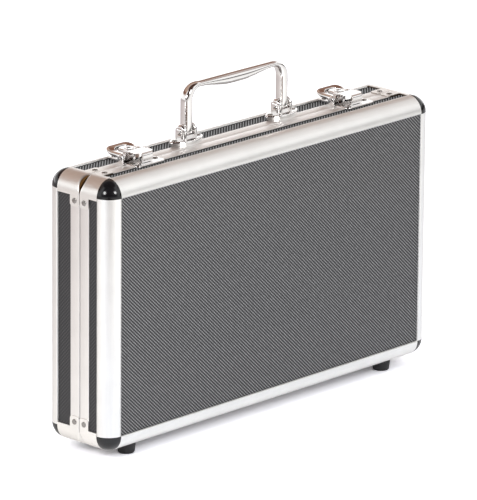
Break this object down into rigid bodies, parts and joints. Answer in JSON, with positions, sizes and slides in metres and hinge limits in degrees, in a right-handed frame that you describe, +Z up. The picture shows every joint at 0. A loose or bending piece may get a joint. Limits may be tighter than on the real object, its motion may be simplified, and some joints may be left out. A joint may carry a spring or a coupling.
{
  "type": "aluminium flight case",
  "caption": "Slim case of dark panels in aluminium rails, black ball corners, folding handle, key latches and a lid hinged at the bottom edge; stands on feet.",
  "frame": {"origin": "centre of the bounding box at the floor, under the rubber feet", "axes": "+X along the case's length, +Y from the lid shell to the base shell (the lid faces -Y), +Z up to the handle"},
  "size_m": [0.3414, 0.064, 0.2506],
  "materials": {
    "panel": "laminated board, dark grey with a fine raised diagonal weave pattern",
    "edge_rail": "satin anodised extrusion",
    "seam_rail": "satin anodised extrusion",
    "corner_plate": "pressed sheet, smooth",
    "ball_corner": "glossy black",
    "rivet": "bright",
    "foot": "matt",
    "liner": "black foam sheet",
    "hinge": "plated steel",
    "handle": "polished plating",
    "latch": "polished plating"
  },
  "bodies": {
    "base": {"base_back_panel": "panel", "base_top_panel": "panel", "base_bottom_panel": "panel", "base_left_panel": "panel", "base_right_panel": "panel", "base_top_rail": "edge_rail", "base_bottom_rail": "edge_rail", "base_left_rail": "edge_rail", "base_right_rail": "edge_rail", "base_seam_top": "seam_rail", "base_seam_bottom": "seam_rail", "base_seam_left": "seam_rail", "base_seam_right": "seam_rail", "base_ball_corners": "ball_corner", "base_corner_plates": "corner_plate", "base_rivets": "rivet", "base_feet": "foot", "base_liner": "liner", "hinge_leaves_base": "hinge", "hinge_pins": "hinge", "handle_mount_left": "handle", "handle_mount_right": "handle", "handle_pins": "handle", "latch_base_left": "latch", "latch_base_right": "latch", "lever_pins": "latch"},
    "lid": {"lid_front_panel": "panel", "lid_top_panel": "panel", "lid_bottom_panel": "panel", "lid_left_panel": "panel", "lid_right_panel": "panel", "lid_top_rail": "edge_rail", "lid_bottom_rail": "edge_rail", "lid_left_rail": "edge_rail", "lid_right_rail": "edge_rail", "lid_seam_top": "seam_rail", "lid_seam_bottom": "seam_rail", "lid_seam_left": "seam_rail", "lid_seam_right": "seam_rail", "lid_ball_corners": "ball_corner", "lid_corner_plates": "corner_plate", "lid_rivets": "rivet", "lid_feet": "foot", "lid_liner": "liner", "hinge_leaves_lid": "hinge", "latch_strike_left": "latch", "latch_strike_right": "latch"},
    "handle": {"handle": "handle"},
    "latch_lever_left": {"latch_lever_left": "latch", "hook_pins_left": "latch"},
    "latch_lever_right": {"latch_lever_right": "latch", "hook_pins_right": "latch"},
    "latch_hook_left": {"latch_hook_left": "latch"},
    "latch_hook_right": {"latch_hook_right": "latch"},
    "lock_plug_left": {"lock_plug_left": "latch"},
    "lock_plug_right": {"lock_plug_right": "latch"}
  },
  "joints": [
    {"name": "lid_hinge", "type": "hinge", "parent": "base", "child": "lid", "pos_m": [0, -0.0023, 0.0055], "axis": [1, 0, 0], "range_deg": [0, 100]},
    {"name": "handle_fold", "type": "hinge", "parent": "base", "child": "handle", "pos_m": [0, 0.009, 0.216], "axis": [1, 0, 0], "range_deg": [-90, 90]},
    {"name": "lever_left", "type": "hinge", "parent": "base", "child": "latch_lever_left", "pos_m": [-0.11, 0.002, 0.211], "axis": [1, 0, 0], "range_deg": [0, 90]},
    {"name": "hook_left", "type": "hinge", "parent": "latch_lever_left", "child": "latch_hook_left", "pos_m": [-0.11, 0.0055, 0.2106], "axis": [1, 0, 0], "range_deg": [-103.5, 0]},
    {"name": "lock_left", "type": "hinge", "parent": "base", "child": "lock_plug_left", "pos_m": [-0.11, 0.0077, 0.214], "axis": [0, 0, 1], "range_deg": [0, 90]},
    {"name": "lever_right", "type": "hinge", "parent": "base", "child": "latch_lever_right", "pos_m": [0.11, 0.002, 0.211], "axis": [1, 0, 0], "range_deg": [0, 90]},
    {"name": "hook_right", "type": "hinge", "parent": "latch_lever_right", "child": "latch_hook_right", "pos_m": [0.11, 0.0055, 0.2106], "axis": [1, 0, 0], "range_deg": [-103.5, 0]},
    {"name": "lock_right", "type": "hinge", "parent": "base", "child": "lock_plug_right", "pos_m": [0.11, 0.0077, 0.214], "axis": [0, 0, 1], "range_deg": [0, 90]}
  ],
  "couplings": [
    {"joint": "hook_left", "follows": "lever_left", "ratio": -1.15},
    {"joint": "hook_right", "follows": "lever_right", "ratio": -1.15}
  ]
}
